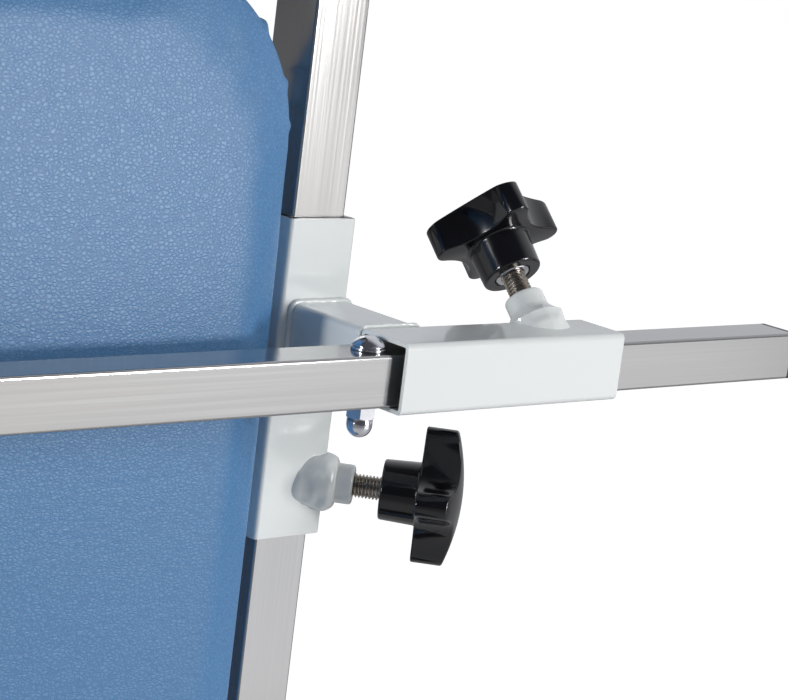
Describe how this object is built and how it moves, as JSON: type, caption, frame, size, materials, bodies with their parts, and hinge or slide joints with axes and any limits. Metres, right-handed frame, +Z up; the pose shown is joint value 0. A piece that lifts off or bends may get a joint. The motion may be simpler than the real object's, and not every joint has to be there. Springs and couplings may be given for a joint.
{
  "type": "physiotherapy tilt table",
  "caption": "Upright tilt table with an upholstered back pad between stainless side rails, a clamped crossbar, a footboard and a geared hand-crank tilt.",
  "frame": {"origin": "on the floor under the middle of the base", "axes": "+Z up along the rails, +X to the right of someone facing the pad, +Y to the back"},
  "size_m": [1.2, 1.26, 1.95],
  "materials": {
    "powder_coat": "gloss off-white powder coat",
    "stainless": "brushed stainless steel",
    "gear_steel": "machined steel",
    "zinc": "bright zinc plating",
    "knob_black": "gloss black moulded plastic",
    "cover_blue": "grained leather-look vinyl over foam",
    "plywood": "clear-coated birch plywood",
    "black_rubber": "black rubber",
    "grey_rubber": "grey rubber",
    "webbing": "dark woven webbing",
    "black_plastic": "satin black plastic",
    "scale_plate": "satin anodised plate"
  },
  "bodies": {
    "base": {"base_side_members": "powder_coat", "base_cross_members": "powder_coat", "base_end_caps": "black_plastic", "uprights": "powder_coat", "upright_braces": "powder_coat", "pivot_bushes": "gear_steel", "gearbox_housing": "powder_coat", "gearbox_bolts": "zinc", "angle_scale": "scale_plate", "levelling_feet": "zinc", "foot_pads": "black_rubber", "roller_axles": "zinc"},
    "wheel_left": {"transport_wheel_left": "grey_rubber"},
    "wheel_right": {"transport_wheel_right": "grey_rubber"},
    "tabletop": {"side_rail_left": "stainless", "side_rail_right": "stainless", "rail_end_tubes": "stainless", "rail_end_caps": "black_plastic", "rail_ties": "powder_coat", "pad_frame": "powder_coat", "pad_board": "plywood", "pad": "cover_blue", "trunnions": "gear_steel", "tilt_sector": "gear_steel", "angle_pointer": "zinc", "chest_strap": "webbing", "knee_strap": "webbing", "strap_buckles": "black_plastic"},
    "pinion": {"drive_pinion": "gear_steel"},
    "crank": {"crank_arm": "zinc", "crank_spindle": "gear_steel"},
    "crank_handle": {"crank_grip": "black_plastic"},
    "clamp": {"rail_sleeve_left": "powder_coat", "rail_sleeve_right": "powder_coat", "sleeve_arm_left": "powder_coat", "sleeve_arm_right": "powder_coat", "bar_sleeve_left": "powder_coat", "bar_sleeve_right": "powder_coat", "clamp_bosses_left": "powder_coat", "clamp_bosses_right": "powder_coat"},
    "crossbar": {"crossbar": "stainless", "crossbar_end_caps": "black_plastic", "stop_bolt": "zinc", "stop_washer": "zinc", "stop_nut": "zinc"},
    "footboard_carriage": {"footboard_frame": "powder_coat", "footboard": "plywood", "foot_mat": "black_rubber"},
    "bar_stud_left": {"bar_stud_left": "zinc"},
    "bar_knob_left": {"bar_knob_left": "knob_black"},
    "bar_stud_right": {"bar_stud_right": "zinc"},
    "bar_knob_right": {"bar_knob_right": "knob_black"},
    "rail_stud_left": {"rail_stud_left": "zinc"},
    "rail_knob_left": {"rail_knob_left": "knob_black"},
    "rail_stud_right": {"rail_stud_right": "zinc"},
    "rail_knob_right": {"rail_knob_right": "knob_black"},
    "foot_stud_left": {"foot_stud_left": "zinc"},
    "foot_knob_left": {"foot_knob_left": "knob_black"},
    "foot_stud_right": {"foot_stud_right": "zinc"},
    "foot_knob_right": {"foot_knob_right": "knob_black"}
  },
  "joints": [
    {"name": "table_tilt", "type": "hinge", "parent": "base", "child": "tabletop", "pos_m": [0, -0.2, 0.7], "axis": [-1, 0, 0], "range_deg": [0, 90]},
    {"name": "pinion_turn", "type": "hinge", "parent": "base", "child": "pinion", "pos_m": [0.226, -0.2, 0.496], "axis": [-1, 0, 0], "range_deg": [-675, 0]},
    {"name": "crank_turn", "type": "hinge", "parent": "base", "child": "crank", "pos_m": [0.311, -0.01, 0.46], "axis": [0, 1, 0], "range_deg": [0, 6750]},
    {"name": "crank_handle_spin", "type": "hinge", "parent": "crank", "child": "crank_handle", "pos_m": [0.311, 0.04, 0.32], "axis": [0, 1, 0], "continuous": true},
    {"name": "wheel_left_turn", "type": "hinge", "parent": "base", "child": "wheel_left", "pos_m": [-0.34, 0.565, 0.054], "axis": [1, 0, 0], "continuous": true},
    {"name": "wheel_right_turn", "type": "hinge", "parent": "base", "child": "wheel_right", "pos_m": [0.34, 0.565, 0.054], "axis": [1, 0, 0], "continuous": true},
    {"name": "clamp_slide", "type": "slide", "parent": "tabletop", "child": "clamp", "axis": [0, 0, 1], "range_m": [-0.55, 0.15]},
    {"name": "crossbar_slide", "type": "slide", "parent": "clamp", "child": "crossbar", "axis": [1, 0, 0], "range_m": [-0.12, 0]},
    {"name": "footboard_slide", "type": "slide", "parent": "tabletop", "child": "footboard_carriage", "axis": [0, 0, 1], "range_m": [0, 0.3]},
    {"name": "bar_screw_left", "type": "slide", "parent": "clamp", "child": "bar_stud_left", "axis": [0, 0.7071, 0.7071], "range_m": [0, 0.008]},
    {"name": "bar_knob_turn_left", "type": "hinge", "parent": "bar_stud_left", "child": "bar_knob_left", "pos_m": [-0.4285, -0.37, 1.66], "axis": [0, 0.7071, 0.7071], "range_deg": [0, 1646.2]},
    {"name": "bar_screw_right", "type": "slide", "parent": "clamp", "child": "bar_stud_right", "axis": [0, 0.7071, 0.7071], "range_m": [0, 0.008]},
    {"name": "bar_knob_turn_right", "type": "hinge", "parent": "bar_stud_right", "child": "bar_knob_right", "pos_m": [0.4285, -0.37, 1.66], "axis": [0, 0.7071, 0.7071], "range_deg": [0, 1646.2]},
    {"name": "rail_screw_left", "type": "slide", "parent": "clamp", "child": "rail_stud_left", "axis": [-0.7071, -0.7071, 0], "range_m": [0, 0.008]},
    {"name": "rail_knob_turn_left", "type": "hinge", "parent": "rail_stud_left", "child": "rail_knob_left", "pos_m": [-0.332, -0.279, 1.585], "axis": [-0.7071, -0.7071, 0], "range_deg": [0, 1646.2]},
    {"name": "rail_screw_right", "type": "slide", "parent": "clamp", "child": "rail_stud_right", "axis": [0.7071, -0.7071, 0], "range_m": [0, 0.008]},
    {"name": "rail_knob_turn_right", "type": "hinge", "parent": "rail_stud_right", "child": "rail_knob_right", "pos_m": [0.332, -0.279, 1.585], "axis": [0.7071, -0.7071, 0], "range_deg": [0, 1646.2]},
    {"name": "foot_screw_left", "type": "slide", "parent": "footboard_carriage", "child": "foot_stud_left", "axis": [-0.7071, -0.7071, 0], "range_m": [0, 0.008]},
    {"name": "foot_knob_turn_left", "type": "hinge", "parent": "foot_stud_left", "child": "foot_knob_left", "pos_m": [-0.332, -0.279, 0.228], "axis": [-0.7071, -0.7071, 0], "range_deg": [0, 1646.2]},
    {"name": "foot_screw_right", "type": "slide", "parent": "footboard_carriage", "child": "foot_stud_right", "axis": [0.7071, -0.7071, 0], "range_m": [0, 0.008]},
    {"name": "foot_knob_turn_right", "type": "hinge", "parent": "foot_stud_right", "child": "foot_knob_right", "pos_m": [0.332, -0.279, 0.228], "axis": [0.7071, -0.7071, 0], "range_deg": [0, 1646.2]}
  ],
  "couplings": [
    {"joint": "pinion_turn", "follows": "table_tilt", "ratio": -7.5},
    {"joint": "crank_turn", "follows": "table_tilt", "ratio": 75},
    {"joint": "bar_knob_turn_left", "follows": "bar_screw_left", "rad_per_m": 3590.4},
    {"joint": "bar_knob_turn_right", "follows": "bar_screw_right", "rad_per_m": 3590.4},
    {"joint": "rail_knob_turn_left", "follows": "rail_screw_left", "rad_per_m": 3590.4},
    {"joint": "rail_knob_turn_right", "follows": "rail_screw_right", "rad_per_m": 3590.4},
    {"joint": "foot_knob_turn_left", "follows": "foot_screw_left", "rad_per_m": 3590.4},
    {"joint": "foot_knob_turn_right", "follows": "foot_screw_right", "rad_per_m": 3590.4}
  ]
}
